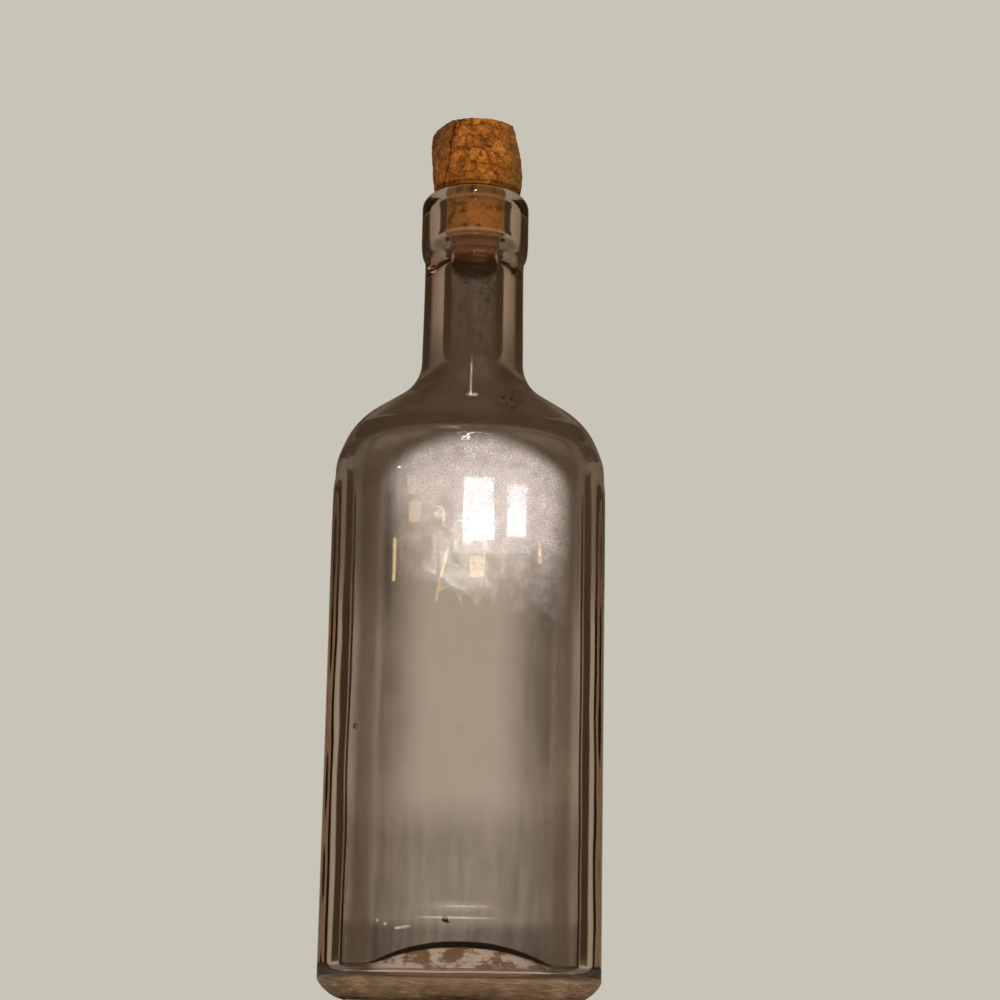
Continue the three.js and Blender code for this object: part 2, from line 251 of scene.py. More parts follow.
class Wire:
    """An output of a node. Operators on it add Math nodes, or Vector Math nodes if it is a vector."""

    def __init__(self, graph, socket):
        self.graph = graph
        self.socket = socket

    def is_vector(self):
        return self.socket.type in {"VECTOR", "RGBA"}

    __add__ = operation_on("ADD")
    __radd__ = reflected("ADD")
    __sub__ = operation_on("SUBTRACT")
    __rsub__ = reflected("SUBTRACT")
    __mul__ = operation_on("MULTIPLY")
    __rmul__ = reflected("MULTIPLY")
    __truediv__ = operation_on("DIVIDE")
    __rtruediv__ = reflected("DIVIDE")
    __pow__ = operation_on("POWER")
    __abs__ = operation_on("ABSOLUTE")
    sin = operation_on("SINE")
    cos = operation_on("COSINE")
    at_least = operation_on("MAXIMUM")
    at_most = operation_on("MINIMUM")
    above = operation_on("GREATER_THAN")

    def __neg__(self):
        return self * -1.0

    def root(self):
        return self.graph.math("SQRT", self.at_least(0.0))

    def share(self, start, end):
        """0 at start and 1 at end, eased at both and held beyond. Start may be the higher of the two."""
        settings = {"interpolation_type": "SMOOTHSTEP"}
        sockets = {"Value": self, "From Min": start, "From Max": end}
        return self.graph.node("ShaderNodeMapRange", settings, sockets)["Result"]

    def band(self, start, full, fading, end):
        """1 between full and fading, eased to 0 at start and at end."""
        return self.share(start, full) * self.share(end, fading)


class Node:
    """A node that has been added, with its outputs by name."""

    def __init__(self, graph, made):
        self.graph = graph
        self.made = made

    def __getitem__(self, name):
        return Wire(self.graph, find_socket(self.made.outputs, name))


def find_socket(sockets, key):
    """The socket with that number, identifier or name. A twin that is out of use is passed over."""
    if isinstance(key, int):
        return sockets[key]
    used = [socket for socket in sockets if socket.enabled]
    return next(socket for socket in used if key in (socket.name, socket.identifier))


class Graph:
    """A node tree that is being built."""

    def __init__(self, tree):
        self.tree = tree

    def node(self, kind, settings=None, sockets=None):
        """Adds a node: its settings first, then a value, a link or several links for each socket."""
        made = self.tree.nodes.new(kind)
        for name, value in (settings or {}).items():
            if name == "stops":
                set_stops(made.color_ramp.elements, value)
            else:
                setattr(made, name, value)
        for name, value in (sockets or {}).items():
            socket = find_socket(made.inputs, name)
            if isinstance(value, (Wire, list)):
                for wire in value if isinstance(value, list) else [value]:
                    self.tree.links.new(wire.socket, socket)
            else:
                socket.default_value = value
        return Node(self, made)

    def math(self, operation, *terms):
        wires = [term for term in terms if isinstance(term, Wire)]
        if not any(wire.is_vector() for wire in wires):
            return self.node("ShaderNodeMath", {"operation": operation}, dict(enumerate(terms)))["Value"]
        if operation == "MULTIPLY" and not all(isinstance(t, Wire) and t.is_vector() for t in terms):
            vector, scale = sorted(terms, key=lambda t: not (isinstance(t, Wire) and t.is_vector()))
            sockets = {0: vector, "Scale": scale}
            return self.node("ShaderNodeVectorMath", {"operation": "SCALE"}, sockets)["Vector"]
        spread = [term if isinstance(term, (Wire, tuple)) else (term,) * 3 for term in terms]
        sockets = dict(enumerate(spread))
        return self.node("ShaderNodeVectorMath", {"operation": operation}, sockets)["Vector"]

    def distance(self, place, point):
        return self.node("ShaderNodeVectorMath", {"operation": "DISTANCE"}, {0: place, 1: point})["Value"]

    def vector(self, x, y, z):
        return self.node("ShaderNodeCombineXYZ", {}, {"X": x, "Y": y, "Z": z})["Vector"]

    def parts(self, vector):
        split = self.node("ShaderNodeSeparateXYZ", {}, {"Vector": vector})
        return split["X"], split["Y"], split["Z"]

    def mix(self, factor, first, second):
        """A colour between two, by a factor from 0 to 1."""
        sockets = {"Factor_Float": factor, "A_Color": first, "B_Color": second}
        return self.node("ShaderNodeMix", {"data_type": "RGBA"}, sockets)["Result_Color"]

    def noise(self, place, scale, detail=2.0, roughness=0.5):
        sockets = {"Vector": place, "Scale": scale, "Detail": detail, "Roughness": roughness}
        return self.node("ShaderNodeTexNoise", {}, sockets)["Fac"]

    def ramp(self, factor, stops):
        return self.node("ShaderNodeValToRGB", {"stops": stops}, {"Fac": factor})["Color"]


def set_stops(elements, stops):
    """Sets a ramp's stops from pairs of a place and a colour."""
    while len(elements) < len(stops):
        elements.new(1.0)
    for element, (place, colour) in zip(elements, stops):
        element.position = place
        element.color = (*colour, 1.0)


def geometry_tree(name, sizes, result="Geometry", kind="NodeSocketGeometry"):
    """A Geometry Nodes tree with a named input for each size. Returns it, its graph and the inputs."""
    tree = bpy.data.node_groups.new(name, "GeometryNodeTree")
    tree.interface.new_socket(result, in_out="OUTPUT", socket_type=kind)
    for size in sizes:
        tree.interface.new_socket(size, in_out="INPUT", socket_type="NodeSocketFloat")
    graph = Graph(tree)
    entry = graph.node("NodeGroupInput")
    return tree, graph, {size: entry[size] for size in sizes}


def close_tree(graph, geometry, material):
    """Ends a tree: instances made real, shaded smooth, with its material."""
    real = graph.node("GeometryNodeRealizeInstances", {}, {"Geometry": geometry})["Geometry"]
    smooth = graph.node("GeometryNodeSetShadeSmooth", {}, {0: real})[0]
    sockets = {"Geometry": smooth, "Material": material}
    painted = graph.node("GeometryNodeSetMaterial", {}, sockets)["Geometry"]
    graph.node("NodeGroupOutput", {}, {"Geometry": painted})


def piece_from_tree(name, tree, sizes):
    """Runs a tree with its sizes, and keeps the result as a plain mesh object."""
    piece = bpy.data.objects.new(name, bpy.data.meshes.new(name))
    bpy.context.scene.collection.objects.link(piece)
    modifier = piece.modifiers.new("shape", "NODES")
    modifier.node_group = tree
    for item in tree.interface.items_tree:
        if item.in_out == "INPUT":
            modifier[item.identifier] = sizes[item.name]
    shaped = piece.evaluated_get(bpy.context.evaluated_depsgraph_get())
    mesh = bpy.data.meshes.new_from_object(shaped)
    piece.modifiers.remove(modifier)
    piece.data = mesh
    mesh.name = name
    return piece


def lofted(graph, columns, rows, outline):
    """A sheet wrapped round the axis. The outline turns an angle and a way along into radius and height."""
    sockets = {"Size X": 1.0, "Size Y": 1.0, "Vertices X": columns + 1, "Vertices Y": rows + 1}
    flat = graph.node("GeometryNodeMeshGrid", {}, sockets)["Mesh"]
    across, along, _ = graph.parts(graph.node("GeometryNodeInputPosition")["Position"])
    angle = (across + 0.5) * TURN
    radius, height = outline(angle, along + 0.5)
    place = graph.vector(radius * angle.cos(), radius * angle.sin(), height)
    return graph.node("GeometryNodeSetPosition", {}, {"Geometry": flat, "Position": place})["Geometry"]


def line(start, end):
    """A straight outline, between two pairs of a radius and a height."""
    (start_radius, start_height), (end_radius, end_height) = start, end

    def outline(angle, along):
        height = start_height + along * (end_height - start_height)
        return start_radius + along * (end_radius - start_radius), height

    return outline


def joined(graph, sheets):
    """Sheets joined where their edges meet, with their seams and poles closed."""
    together = graph.node("GeometryNodeJoinGeometry", {}, {"Geometry": sheets})["Geometry"]
    sockets = {"Geometry": together, "Distance": 0.001 * MM}
    return graph.node("GeometryNodeMergeByDistance", {}, sockets)["Geometry"]


def pushed(graph, geometry, distance):
    """A surface moved along its normals."""
    normal = graph.node("GeometryNodeInputNormal")["Normal"]
    sockets = {"Geometry": geometry, "Offset": normal * distance}
    return graph.node("GeometryNodeSetPosition", {}, sockets)["Geometry"]


def turned_over(graph, geometry):
    return graph.node("GeometryNodeFlipFaces", {}, {"Mesh": geometry})["Mesh"]


def thin_shell(graph, surface, gap, thickness):
    """A closed film over a surface, a little way off it."""
    near = pushed(graph, surface, gap)
    sockets = {"Mesh": near, "Offset Scale": thickness, "Individual": False}
    far = graph.node("GeometryNodeExtrudeMesh", {"mode": "FACES"}, sockets)["Mesh"]
    return joined(graph, [far, turned_over(graph, near)])


# Sizes of the two skins of the glass, worked out from the driving sizes
BEVEL_DISTANCE = (BODY_WIDTH / 2 + BODY_DEPTH / 2 - BEVEL_LEG) / math.sqrt(2)
SHOULDER_TURN = QUARTER - SHOULDER_SLOPE


def skin_sizes(inset, neck, shoulder, root, scoop, ease, panel_sharpness, edge_sharpness, softness):
    """Sizes of one skin of the glass, inset from the frame's faces."""
    half_width = BODY_WIDTH / 2 - inset
    run = (shoulder + root) * (1 - math.cos(SHOULDER_TURN))
    fit = min(1.0, (half_width - neck) / run)
    slope_run = half_width - neck - run * fit
    slope_start = SHOULDER_HEIGHT + shoulder * fit * math.sin(SHOULDER_TURN)
    slope_end = slope_start + slope_run * math.tan(SHOULDER_SLOPE)
    neck_height = slope_end + root * fit * math.sin(SHOULDER_TURN)
    return {
        "Half width": half_width,
        "Half depth": BODY_DEPTH / 2 - inset,
        "Bevel": BEVEL_DISTANCE - inset,
        "Neck": neck,
        "Shoulder radius": shoulder * fit,
        "Root radius": root * fit,
        "Scoop radius": scoop,
        "Scoop ease": ease,
        "Slope start": slope_start,
        "Slope end": slope_end,
        "Neck height": neck_height,
        "Foot": min(SHOULDER_HEIGHT, neck_height - scoop),
        "Panel sharpness": panel_sharpness,
        "Edge sharpness": edge_sharpness,
        "Shoulder softness": softness,
    }


OUTER = skin_sizes(
    inset=DUST_ROOM,
    neck=NECK_RADIUS - DUST_ROOM,
    shoulder=SHOULDER_RADIUS,
    root=NECK_ROOT_RADIUS,
    scoop=SCOOP_RADIUS,
    ease=SCOOP_EASE,
    panel_sharpness=PANEL_SHARPNESS,
    edge_sharpness=EDGE_SHARPNESS,
    softness=SHOULDER_SOFTNESS,
)
INNER = skin_sizes(
    inset=SIDE_WALL,
    neck=BORE_RADIUS,
    shoulder=SHOULDER_RADIUS - SIDE_WALL,
    root=NECK_ROOT_RADIUS + SIDE_WALL,
    scoop=SCOOP_RADIUS - 2 * SIDE_WALL,
    ease=INNER_SCOOP_EASE,
    panel_sharpness=INNER_SHARPNESS,
    edge_sharpness=INNER_SHARPNESS,
    softness=INNER_SHARPNESS,
)
GLASS_SIZES = {
    **{"Outer " + name: size for name, size in OUTER.items()},
    **{"Inner " + name: size for name, size in INNER.items()},
}
NECK_TOP = NECK_RADIUS - DUST_ROOM - NECK_DRAW_IN
LIP_RADIUS = NECK_TOP + LIP_OVERHANG
LIP_FOOT = RIM - LIP_HEIGHT
LEDGE_TOP = RIM - MOUTH_DEPTH
LEDGE_FOOT = LEDGE_TOP - LEDGE_HEIGHT
INNER_FILM_TOP = LEDGE_FOOT - INNER_FILM_DROP


def blended(first, second, sharpness):
    """The larger of two reciprocals of a distance, rounded where they cross, less at a high sharpness."""
    larger = first.at_least(second)
    return larger * ((first / larger) ** sharpness + (second / larger) ** sharpness) ** (1 / sharpness)


def skin_tree():
    """Distance from the axis to a skin: panels, bevels and side faces, drawn in to a round neck.
    From the front the shoulder is an S of two arcs and a slope. From the side it is a scoop."""
    inputs = ("Angle", "Height", *OUTER)
    tree, graph, skin = geometry_tree("glass_skin", inputs, "Radius", "NodeSocketFloat")
    height = skin["Height"]
    across = abs(skin["Angle"].cos())
    along = abs(skin["Angle"].sin())
    rise = (height - SHOULDER_HEIGHT).at_least(0.0)
    drop = (skin["Neck height"] - height).at_least(0.0)
    shoulder = skin["Shoulder radius"]
    root = skin["Root radius"]
    top_arc = skin["Half width"] - shoulder + (shoulder ** 2.0 - rise ** 2.0).root()
    slope_top = skin["Half width"] - shoulder * (1 - math.cos(SHOULDER_TURN))
    slope = slope_top - (height - skin["Slope start"]) / math.tan(SHOULDER_SLOPE)
    root_arc = skin["Neck"] + root - (root ** 2.0 - drop ** 2.0).root()
    on_slope = height.above(skin["Slope start"])
    on_root = height.above(skin["Slope end"])
    half_width = top_arc + (slope - top_arc) * on_slope + (root_arc - slope) * on_root
    scoop = skin["Scoop radius"]
    half_depth = skin["Neck"] + scoop - (scoop ** 2.0 - drop ** 2.0).root()
    hold = height.share(skin["Foot"], skin["Foot"] + skin["Scoop ease"])
    climb = ((height - skin["Foot"]) / (skin["Neck height"] - skin["Foot"])).at_least(0.0).at_most(1.0)
    squareness = SHOULDER_SQUARENESS + climb * (2 - SHOULDER_SQUARENESS)
    wide = (across / half_width) ** squareness
    deep = (along * hold / half_depth) ** squareness
    dome = (wide + deep) ** (1 / squareness)
    panel = along / skin["Half depth"]
    bevel = (across + along) / (skin["Bevel"] * math.sqrt(2))
    fading = height.share(*SOFTENING)
    edge = skin["Edge sharpness"] + fading * (skin["Shoulder softness"] - skin["Edge sharpness"])
    radius = 1 / blended(panel, blended(bevel, dome, edge), skin["Panel sharpness"])
    graph.node("NodeGroupOutput", {}, {"Radius": radius})
    return tree


SKIN = skin_tree()


def skin_radius(graph, sizes, side, angle, height):
    """Distance from the axis to the outer or inner skin, at an angle and a height."""
    skin = {name: sizes[side + name] for name in OUTER}
    sockets = {"Angle": angle, "Height": height, **skin}
    return graph.node("GeometryNodeGroup", {"node_tree": SKIN}, sockets)["Radius"]


def skin_between(graph, sizes, side, start, end):
    """Outline of a skin, from one height to another."""

    def outline(angle, along):
        height = start + along * (end - start)
        return skin_radius(graph, sizes, side, angle, height), height

    return outline


def glass_sheets(graph, rows):
    return [lofted(graph, GLASS_COLUMNS, count, outline) for count, outline in rows]


def outer_sheets(graph, sizes):
    """Outside of the glass from the heel to the foot of the lip."""
    foot = sizes["Outer Foot"]
    neck_height = sizes["Outer Neck height"]

    def heel(angle, along):
        turn = along * QUARTER
        body = skin_radius(graph, sizes, "Outer ", angle, HEEL_HEIGHT)
        inset = HEEL_WIDTH * (1 - turn.sin().at_least(0.0) ** HEEL_FLATNESS)
        share = turn.cos().at_least(0.0) ** HEEL_FLATNESS
        return body - inset, HEEL_HEIGHT - (HEEL_HEIGHT - DUST_ROOM) * share

    def neck(angle, along):
        return sizes["Outer Neck"] - along * NECK_DRAW_IN, neck_height + along * (LIP_FOOT - neck_height)

    wall = skin_between(graph, sizes, "Outer ", HEEL_HEIGHT, foot)
    shoulder = skin_between(graph, sizes, "Outer ", foot, neck_height)
    return glass_sheets(graph, ((10, heel), (30, wall), (44, shoulder), (14, neck)))


def inner_sheets(graph, sizes):
    """Inside of the glass, from the bore down to the middle of the floor."""
    foot = sizes["Inner Foot"]
    heel_top = FLOOR_EDGE_HEIGHT + INNER_HEEL_RADIUS

    def heel(angle, along):
        turn = along * QUARTER
        body = skin_radius(graph, sizes, "Inner ", angle, heel_top)
        return body - INNER_HEEL_RADIUS * (1 - turn.cos()), heel_top - INNER_HEEL_RADIUS * turn.sin()

    def floor(angle, along):
        share = 1 - along
        body = skin_radius(graph, sizes, "Inner ", angle, heel_top)
        return (body - INNER_HEEL_RADIUS) * share, FLOOR_EDGE_HEIGHT + FLOOR_RISE * (1 - share * share)

    shoulder = skin_between(graph, sizes, "Inner ", sizes["Inner Neck height"], foot)
    wall = skin_between(graph, sizes, "Inner ", foot, heel_top)
    return glass_sheets(graph, ((44, shoulder), (30, wall), (8, heel), (16, floor)))


def base_sheets(graph, sizes):
    """Underside: the push-up and the flat ring that the bottle stands on."""

    def push_up(angle, along):
        body = skin_radius(graph, sizes, "Outer ", angle, HEEL_HEIGHT)
        return (body - HEEL_WIDTH - REST_RING_WIDTH) * along, DUST_ROOM + PUSH_UP * (1 - along * along)

    def rest_ring(angle, along):
        body = skin_radius(graph, sizes, "Outer ", angle, HEEL_HEIGHT)
        return body - HEEL_WIDTH - REST_RING_WIDTH * (1 - along), along * 0.0 + DUST_ROOM

    return glass_sheets(graph, ((9, push_up), (2, rest_ring)))


def bore_sheet(graph, sizes, top, rows):
    """The bore, from a height down to the shoulder."""
    bore = line((BORE_RADIUS, top), (BORE_RADIUS, sizes["Inner Neck height"]))
    return lofted(graph, GLASS_COLUMNS, rows, bore)


def lip_sheets(graph, sizes):
    """The collar from its foot over the rim, the mouth, its ledge, and the bore down to the shoulder."""
    foot_top = LIP_FOOT + LIP_FOOT_HEIGHT
    side_top = RIM - LIP_TOP_RADIUS
    mouth_top = RIM - MOUTH_EDGE_RADIUS
    rim_outside = LIP_RADIUS - LIP_TOP_RADIUS
    rim_inside = MOUTH_RADIUS + MOUTH_EDGE_RADIUS

    def foot(angle, along):
        turn = along * QUARTER
        return NECK_TOP + LIP_OVERHANG * turn.sin(), foot_top - LIP_FOOT_HEIGHT * turn.cos()

    def top(angle, along):
        turn = along * QUARTER
        return LIP_RADIUS - LIP_TOP_RADIUS * (1 - turn.cos()), side_top + LIP_TOP_RADIUS * turn.sin()

    def mouth_edge(angle, along):
        turn = along * QUARTER
        return rim_inside - MOUTH_EDGE_RADIUS * turn.sin(), mouth_top + MOUTH_EDGE_RADIUS * turn.cos()

    side = line((LIP_RADIUS, foot_top), (LIP_RADIUS, side_top))
    rim = line((rim_outside, RIM), (rim_inside, RIM))
    mouth = line((MOUTH_RADIUS, mouth_top), (MOUTH_RADIUS, LEDGE_TOP))
    ledge = line((MOUTH_RADIUS, LEDGE_TOP), (BORE_RADIUS, LEDGE_FOOT))
    rows = ((9, foot), (8, side), (9, top), (1, rim), (8, mouth_edge), (6, mouth), (3, ledge))
    return [*glass_sheets(graph, rows), bore_sheet(graph, sizes, LEDGE_FOOT, 14)]


def waved_outside(graph, geometry):
    """The outside's slight unevenness, all inwards, so that the panels still mirror a lamp cleanly."""
    place = graph.node("GeometryNodeInputPosition")["Position"]
    _, _, height = graph.parts(place)
    free = height.share(2 * MM, 12 * MM) * height.share(LIP_FOOT - 1 * MM, LIP_FOOT - 8 * MM)
    swell = graph.noise(place, 28.0, 1.0) * OUTSIDE_WAVE
    return pushed(graph, geometry, -(swell * free))


def waved_inside(graph, geometry):
    """The inside's unevenness, from glass that was blown and not moulded there."""
    place = graph.node("GeometryNodeInputPosition")["Position"]
    _, _, height = graph.parts(place)
    free = height.share(INNER["Neck height"], INNER["Neck height"] - 25 * MM)
    swell = (graph.noise(place, 38.0, 2.0) - 0.5) * INSIDE_WAVE
    return pushed(graph, geometry, swell * free)


def glass_inside(graph, sizes):
    return waved_inside(graph, joined(graph, inner_sheets(graph, sizes)))


def glass_outside(graph, sizes):
    return waved_outside(graph, joined(graph, outer_sheets(graph, sizes)))


def bubbles(graph, inside):
    """Gas bubbles of old glass, as hollows halfway into its wall: many small ones and one that shows."""
    middle = pushed(graph, inside, -SIDE_WALL / 2)
    spread = {"Mesh": middle, "Density": SMALL_BUBBLES, "Seed": 7}
    points = graph.node("GeometryNodeDistributePointsOnFaces", {}, spread)["Points"]
    ball = graph.node("GeometryNodeMeshIcoSphere", {}, {"Radius": 1.0, "Subdivisions": 2})["Mesh"]
    smallest, largest = SMALL_BUBBLE_RADII
    sizes = {"Min": smallest, "Max": largest, "Seed": 3}
    size = graph.node("FunctionNodeRandomValue", {"data_type": "FLOAT"}, sizes)["Value"]
    scale = graph.vector(size, size, size * 1.5)
    seeds = {"Points": points, "Instance": ball, "Scale": scale}
    small = graph.node("GeometryNodeInstanceOnPoints", {}, seeds)["Instances"]
    real = graph.node("GeometryNodeRealizeInstances", {}, {"Geometry": small})["Geometry"]
    big_ball = {"Radius": BUBBLE_RADIUS, "Subdivisions": 3}
    ball = graph.node("GeometryNodeMeshIcoSphere", {}, big_ball)["Mesh"]
    moved = {"Geometry": ball, "Translation": BUBBLE}
    large = graph.node("GeometryNodeTransform", {}, moved)["Geometry"]
    return [turned_over(graph, real), turned_over(graph, large)]


def glass_piece(material):
    """The whole bottle as one closed skin, with bubbles in its wall."""
    tree, graph, sizes = geometry_tree("glass_bottle_shape", GLASS_SIZES)
    inside = glass_inside(graph, sizes)
    rest = base_sheets(graph, sizes) + lip_sheets(graph, sizes)
    body = joined(graph, [glass_outside(graph, sizes), inside, *rest])
    both = [body, *bubbles(graph, inside)]
    whole = graph.node("GeometryNodeJoinGeometry", {}, {"Geometry": both})["Geometry"]
    close_tree(graph, whole, material)
    return piece_from_tree("moulded_glass", tree, GLASS_SIZES)


def dust_and_painted_light_piece(material):
    """Dust, grime and painted light on the outside, from the heel to the top of the lip."""
    tree, graph, sizes = geometry_tree("dust_and_painted_light_shape", GLASS_SIZES)
    surface = joined(graph, [glass_outside(graph, sizes), *lip_sheets(graph, sizes)[:3]])
    close_tree(graph, thin_shell(graph, surface, FILM_GAP, FILM), material)
    return piece_from_tree("outside_dust_and_painted_light", tree, GLASS_SIZES)


def residue_and_painted_shade_piece(material):
    """Brown film inside, up to below the cork: residue that the contents left, and painted shade."""
    tree, graph, sizes = geometry_tree("residue_and_painted_shade_shape", GLASS_SIZES)
    surface = joined(graph, [glass_inside(graph, sizes), bore_sheet(graph, sizes, INNER_FILM_TOP, 10)])
    close_tree(graph, thin_shell(graph, surface, FILM_GAP, FILM), material)
    return piece_from_tree("inside_residue_and_painted_shade", tree, GLASS_SIZES)


def crumb_piece(material):
    """A crumb of cork that sticks to the inside of the front wall."""
    tree, graph, sizes = geometry_tree("crumb_shape", {"Size": 0.0})
    ball = graph.node("GeometryNodeMeshIcoSphere", {}, {"Radius": 1.0, "Subdivisions": 4})["Mesh"]
    place = graph.node("GeometryNodeInputPosition")["Position"]
    lumpy = pushed(graph, ball, (graph.noise(place, 1.6, 3.0, 0.6) - 0.5) * 1.1)
    turned = {"Geometry": lumpy, "Translation": CRUMB, "Rotation": (0.0, 40 * DEGREE, 0.0)}
    turned["Scale"] = graph.vector(sizes["Size"], sizes["Size"] * 0.55, sizes["Size"] * 0.6)
    close_tree(graph, graph.node("GeometryNodeTransform", {}, turned)["Geometry"], material)
    return piece_from_tree("crumb", tree, {"Size": CRUMB_SIZE})


# Sizes of the cork, worked out from the driving sizes
CORK_HEAD_HEIGHT = CORK_TOP - RIM
HEAD_MIDDLE = RIM + CORK_HEAD_HEIGHT / 2
HEAD_FOOT = RIM + CORK_CLEARANCE
STEM_RADIUS = BORE_RADIUS - CORK_CLEARANCE
SHANK_RADIUS = MOUTH_RADIUS - CORK_CLEARANCE
SHANK_FOOT = LEDGE_TOP + CORK_CLEARANCE / 2
HEAD_FOOT_RADIUS = MOUTH_RADIUS + CORK_HEAD_OVERHANG
HEAD_WIDEST = HEAD_FOOT_RADIUS + CORK_HEAD_SWELL
HEAD_TOP_RADIUS = HEAD_WIDEST - CORK_TOP_DRAW_IN


def cut_back(angle, radius, height):
    """A radius of the head, cut back to the knife's flats."""
    for facing, lean, depth in KNIFE_CUTS:
        tilt = lean * DEGREE
        reach = HEAD_WIDEST * math.cos(tilt) + CORK_HEAD_HEIGHT / 2 * abs(math.sin(tilt)) - depth * MM
        toward = (angle - facing * DEGREE).cos().at_least(0.02)
        left = reach - (height - HEAD_MIDDLE) * math.sin(tilt)
        radius = radius.at_most(left / (toward * math.cos(tilt)))
    return radius


def cork_sheets(graph):
    """The cork's stem, the shank in the mouth, the seat along the mouth's edge, and the whittled head."""
    seat_middle = MOUTH_RADIUS + MOUTH_EDGE_RADIUS
    seat_height = RIM - MOUTH_EDGE_RADIUS
    seat_radius = MOUTH_EDGE_RADIUS + CORK_CLEARANCE
    foot_edge = HEAD_FOOT_RADIUS - CORK_EDGE / 2
    swell_foot = HEAD_FOOT + CORK_EDGE
    swell_top = RIM + CORK_SWELL_HEIGHT

    def seat(angle, along):
        turn = along * QUARTER
        return seat_middle - seat_radius * turn.cos(), seat_height + seat_radius * turn.sin()

    def swell(angle, along):
        back = 1 - along
        radius = HEAD_WIDEST - (HEAD_WIDEST - HEAD_FOOT_RADIUS) * back * back
        return radius, swell_foot + (swell_top - swell_foot) * along * along

    def whittled(outline):
        def cut(angle, along):
            radius, height = outline(angle, along)
            return cut_back(angle, radius, height), height

        return cut

    def top(angle, along):
        edge = cut_back(angle, along * 0.0 + (HEAD_TOP_RADIUS - CORK_EDGE), along * 0.0 + CORK_TOP)
        return edge * (1 - along), along * 0.0 + CORK_TOP

    stem_foot = STEM_RADIUS - CORK_STEM_TAPER
    shoulder = (HEAD_TOP_RADIUS, CORK_TOP - CORK_EDGE)
    rows = (
        (10, line((0.0, STEM_FOOT), (stem_foot, STEM_FOOT))),
        (14, line((stem_foot, STEM_FOOT), (STEM_RADIUS, SHANK_FOOT - LEDGE_HEIGHT))),
        (6, line((STEM_RADIUS, SHANK_FOOT - LEDGE_HEIGHT), (SHANK_RADIUS, SHANK_FOOT))),
        (28, line((SHANK_RADIUS, SHANK_FOOT), (SHANK_RADIUS, seat_height))),
        (10, seat),
        (5, whittled(line((seat_middle, HEAD_FOOT), (foot_edge, HEAD_FOOT)))),
        (5, whittled(line((foot_edge, HEAD_FOOT), (HEAD_FOOT_RADIUS, swell_foot)))),
        (40, whittled(swell)),
        (44, whittled(line((HEAD_WIDEST, swell_top), shoulder))),
        (6, whittled(line(shoulder, (HEAD_TOP_RADIUS - CORK_EDGE, CORK_TOP)))),
        (40, top),
    )
    return [lofted(graph, CORK_COLUMNS, count, outline) for count, outline in rows]


def grain_edges(graph, place):
    """How far a place is from the edge of its grain of cork, as a share of it, and the grain's own tone."""
    shift = graph.node("ShaderNodeTexNoise", {}, {"Vector": place, "Scale": 500.0, "Detail": 3.0})["Color"]
    uneven = place + (shift - 0.5) * (1.8 * MM)
    sockets = {"Vector": uneven, "Scale": 290.0}
    edge = graph.node("ShaderNodeTexVoronoi", {"feature": "DISTANCE_TO_EDGE"}, sockets)["Distance"]
    tone, _, _ = graph.parts(graph.node("ShaderNodeTexVoronoi", {"feature": "F1"}, sockets)["Color"])
    return edge, tone


def cork_piece(material):
    """Whittled cork with grains, pits and the split down the front of its head."""
    tree, graph, sizes = geometry_tree("cork_shape", {"Relief": 0.0})
    blank = joined(graph, cork_sheets(graph))
    place = graph.node("GeometryNodeInputPosition")["Position"]
    x, y, z = graph.parts(place)
    rough = 0.2 + 0.8 * z.share(RIM + 0.4 * MM, RIM + 3 * MM)
    top = z.share(CORK_TOP - 3 * MM, CORK_TOP - 0.6 * MM)
    lumps = graph.noise(place, 200.0, 2.0) * (0.5 * MM) - (0.3 * MM) * (1 - top)
    edges, _ = grain_edges(graph, place)
    seams = (1 - edges.share(0.0, 0.12)) * (0.14 * MM)
    pits = graph.noise(place + (0.0, 0.0, 0.5), 560.0, 3.0, 0.6).share(0.57, 0.7)
    fine = graph.noise(place, 1500.0, 4.0, 0.7) * (0.3 * MM)
    wander = (graph.noise(place, 350.0, 2.0) - 0.5) * (1.6 * MM)
    crack_line = CRACK_FOOT + (z - HEAD_FOOT) * math.tan(CRACK_LEAN) + wander
    climb = z.share(HEAD_FOOT, CORK_TOP)
    width = 0.12 * MM + climb * (0.16 * MM)
    crack = (1 - (abs(x - crack_line) / width).share(0.35, 1.3)) * (-y).share(1 * MM, 4 * MM)
    crack = crack * z.share(HEAD_FOOT, HEAD_FOOT + 4 * MM)
    flake = (crack_line - x).share(0.0, 0.3 * MM) * (-y).share(1 * MM, 4 * MM) * climb
    sunk = (lumps + seams + pits * (0.38 * MM) + fine) * rough * sizes["Relief"] + crack * CRACK_DEPTH
    marked = blank
    for name, field in (("pits", pits * rough), ("crack", crack), ("flake", flake)):
        sockets = {"Geometry": marked, "Name": name, "Value": field}
        marked = graph.node("GeometryNodeStoreNamedAttribute", {"data_type": "FLOAT"}, sockets)["Geometry"]
    close_tree(graph, pushed(graph, marked, -sunk), material)
    return piece_from_tree("whittled_cork", tree, {"Relief": 1.0})


# Materials

def new_material(name):
    material = bpy.data.materials.new(name)
    material.use_nodes = True
    material.node_tree.nodes.clear()
    return material, Graph(material.node_tree)


def set_surface(graph, sockets):
    """Ends a material in one Principled surface."""
    surface = graph.node("ShaderNodeBsdfPrincipled", {}, sockets)["BSDF"]
    graph.node("ShaderNodeOutputMaterial", {}, {"Surface": surface})


def object_place(graph):
    return graph.node("ShaderNodeTexCoord")["Object"]


def attribute(graph, name):
    return graph.node("ShaderNodeAttribute", {"attribute_name": name})["Fac"]


def glass_material():
    """Old clear glass, smoky where it is thick."""
    material, graph = new_material("old_clear_glass")
    sockets = {"Base Color": CLEAR_GLASS, "Roughness": 0.0, "IOR": 1.5, "Transmission Weight": 1.0}
    surface = graph.node("ShaderNodeBsdfPrincipled", {}, sockets)["BSDF"]
    smoke = graph.node("ShaderNodeVolumeAbsorption", {}, {"Color": SMOKE, "Density": 80.0})
    graph.node("ShaderNodeOutputMaterial", {}, {"Surface": surface, "Volume": smoke["Volume"]})
    return material


